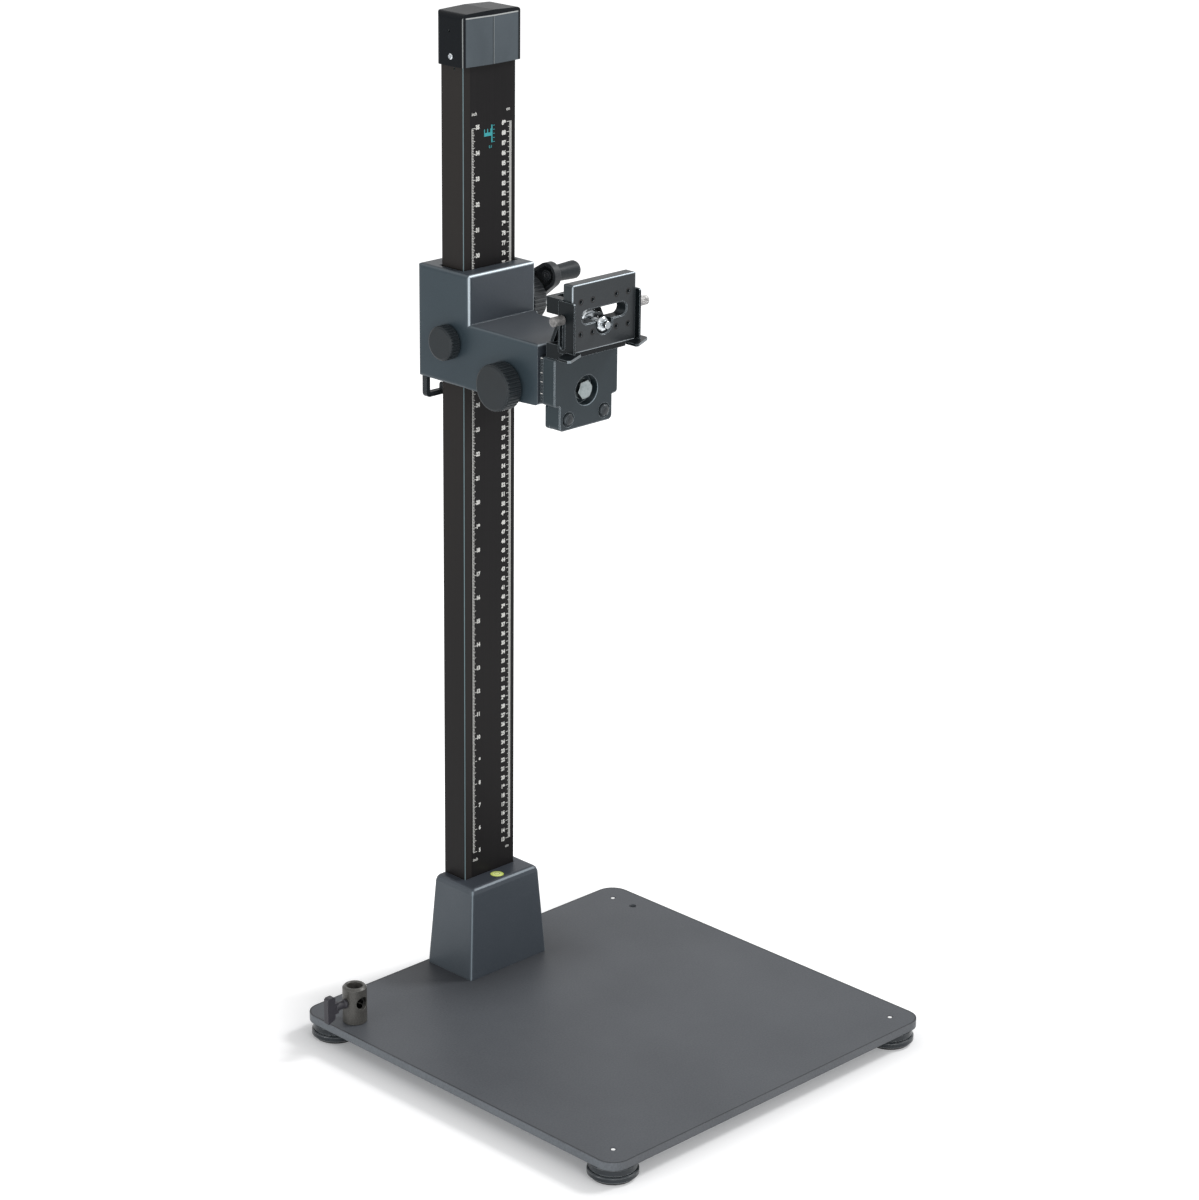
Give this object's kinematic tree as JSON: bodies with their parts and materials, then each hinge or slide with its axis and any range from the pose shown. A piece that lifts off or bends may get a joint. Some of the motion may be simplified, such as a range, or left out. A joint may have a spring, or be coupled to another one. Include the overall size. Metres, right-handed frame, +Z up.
{
  "type": "copy stand",
  "caption": "Copy stand: square baseboard, scaled column, crank-driven carriage on a rack, swivelling camera plate with sliding stops.",
  "frame": {"origin": "on the floor, under the middle of the whole object's box", "axes": "+Z up, +Y to the rear, where the column stands, +X to the user's right"},
  "size_m": [0.4636, 0.4672, 1.0294],
  "materials": {
    "board_paint": "fine textured matt paint",
    "cast_paint": "satin metallic paint",
    "column_black": "satin anodised, printed scale",
    "rack_steel": "milled",
    "zinc_steel": "zinc plated",
    "nickel": "satin nickel",
    "brass": "machined",
    "black_plastic": "moulded, fine matt",
    "grey_plastic": "moulded, ribbed",
    "liner_plastic": "smooth acetal",
    "black_steel": "black satin paint",
    "level_fluid": "clear fluid under glass",
    "pad_rubber": "matt"
  },
  "bodies": {
    "base": {"baseboard": "board_paint", "pedestal": "cast_paint", "column": "column_black", "column_rack": "rack_steel", "column_cap": "black_plastic", "cap_screws": "zinc_steel", "level_housing": "black_plastic", "level_vial": "level_fluid", "pedestal_bolts": "zinc_steel", "column_bolts": "zinc_steel", "lamp_socket": "black_steel", "socket_bolt": "zinc_steel"},
    "carriage": {"carriage_housing": "cast_paint", "slide_liners": "liner_plastic", "shaft_bushes": "brass", "cable_hook": "black_plastic", "drive_cover": "black_plastic", "cover_screws": "zinc_steel"},
    "crank": {"crank_shaft": "zinc_steel", "pinion": "brass", "crank_arm": "black_plastic", "handle_pin": "zinc_steel"},
    "grip": {"crank_grip": "black_plastic"},
    "column_clamp": {"clamp_knob": "black_plastic", "clamp_screw": "zinc_steel", "clamp_shoe": "liner_plastic"},
    "friction_setting": {"friction_knob": "grey_plastic", "friction_screw": "zinc_steel", "friction_shoe": "liner_plastic"},
    "swivel_clamp": {"swivel_knob": "black_plastic", "swivel_screw": "zinc_steel", "swivel_shoe": "brass"},
    "head": {"swivel_bracket": "cast_paint", "swivel_spindle": "rack_steel", "index_plate": "black_plastic", "hex_bolt": "zinc_steel", "bolt_washer": "zinc_steel", "bracket_screws": "black_steel", "plate_carrier": "black_steel", "carrier_screws": "zinc_steel", "camera_plate": "black_steel"},
    "screw_washer": {"slot_washer": "nickel"},
    "screw_clip": {"retaining_clip": "zinc_steel"},
    "camera_screw": {"camera_screw": "nickel", "thread_adapter": "nickel"},
    "left_stop": {"stop_left": "black_steel"},
    "right_stop": {"stop_right": "black_steel"},
    "left_stop_screw": {"stop_screw_left": "nickel"},
    "right_stop_screw": {"stop_screw_right": "nickel"},
    "wing_screw": {"socket_wing_screw": "black_steel"},
    "front_left_foot": {"foot_front_left": "black_plastic", "foot_pad_front_left": "pad_rubber"},
    "front_right_foot": {"foot_front_right": "black_plastic", "foot_pad_front_right": "pad_rubber"},
    "rear_left_foot": {"foot_rear_left": "black_plastic", "foot_pad_rear_left": "pad_rubber"},
    "rear_right_foot": {"foot_rear_right": "black_plastic", "foot_pad_rear_right": "pad_rubber"}
  },
  "joints": [
    {"name": "carriage_slide", "type": "slide", "parent": "base", "child": "carriage", "axis": [0, 0, 1], "range_m": [-0.534, 0.198]},
    {"name": "crank_turn", "type": "hinge", "parent": "carriage", "child": "crank", "pos_m": [0.0085, 0.21635, 0.722], "axis": [1, 0, 0], "range_deg": [-3420, 1280]},
    {"name": "grip_spin", "type": "hinge", "parent": "crank", "child": "grip", "pos_m": [0.0885, 0.16556, 0.75756], "axis": [1, 0, 0], "continuous": true},
    {"name": "column_clamp_turn", "type": "hinge", "parent": "carriage", "child": "column_clamp", "pos_m": [-0.0365, 0.18655, 0.706], "axis": [-1, 0, 0], "range_deg": [-30, 360]},
    {"name": "friction_turn", "type": "hinge", "parent": "carriage", "child": "friction_setting", "pos_m": [0.0535, 0.18355, 0.733], "axis": [1, 0, 0], "range_deg": [-180, 360]},
    {"name": "swivel_clamp_turn", "type": "hinge", "parent": "carriage", "child": "swivel_clamp", "pos_m": [-0.0365, 0.10525, 0.679], "axis": [-1, 0, 0], "range_deg": [-30, 360]},
    {"name": "head_swivel", "type": "hinge", "parent": "carriage", "child": "head", "pos_m": [0.0085, 0.06125, 0.679], "axis": [0, 1, 0], "range_deg": [-90, 90]},
    {"name": "screw_lift", "type": "slide", "parent": "head", "child": "screw_washer", "axis": [0, 0, 1], "range_m": [0, 0.0099]},
    {"name": "screw_slide", "type": "slide", "parent": "screw_washer", "child": "screw_clip", "axis": [1, 0, 0], "range_m": [-0.0025, 0.0095]},
    {"name": "screw_spin", "type": "hinge", "parent": "screw_clip", "child": "camera_screw", "pos_m": [0.005, 0.01625, 0.7505], "axis": [0, -1, 0], "continuous": true},
    {"name": "left_stop_slide", "type": "slide", "parent": "head", "child": "left_stop", "axis": [0, 0, 1], "range_m": [0, 0.0255]},
    {"name": "right_stop_slide", "type": "slide", "parent": "head", "child": "right_stop", "axis": [0, 0, 1], "range_m": [0, 0.0255]},
    {"name": "left_stop_screw_turn", "type": "hinge", "parent": "head", "child": "left_stop_screw", "pos_m": [-0.03425, 0.02755, 0.7593], "axis": [-1, 0, 0], "continuous": true},
    {"name": "right_stop_screw_turn", "type": "hinge", "parent": "head", "child": "right_stop_screw", "pos_m": [0.05125, 0.02755, 0.7593], "axis": [1, 0, 0], "continuous": true},
    {"name": "wing_screw_turn", "type": "hinge", "parent": "base", "child": "wing_screw", "pos_m": [-0.192, 0.16225, 0.0505], "axis": [-1, 0, 0], "continuous": true},
    {"name": "front_left_foot_turn", "type": "hinge", "parent": "base", "child": "front_left_foot", "pos_m": [-0.1915, -0.20775, 0], "axis": [0, 0, 1], "continuous": true},
    {"name": "front_right_foot_turn", "type": "hinge", "parent": "base", "child": "front_right_foot", "pos_m": [0.2085, -0.20775, 0], "axis": [0, 0, 1], "continuous": true},
    {"name": "rear_left_foot_turn", "type": "hinge", "parent": "base", "child": "rear_left_foot", "pos_m": [-0.1915, 0.19225, 0], "axis": [0, 0, 1], "continuous": true},
    {"name": "rear_right_foot_turn", "type": "hinge", "parent": "base", "child": "rear_right_foot", "pos_m": [0.2085, 0.19225, 0], "axis": [0, 0, 1], "continuous": true}
  ],
  "couplings": [
    {"joint": "crank_turn", "follows": "carriage_slide", "rad_per_m": 111.11}
  ]
}
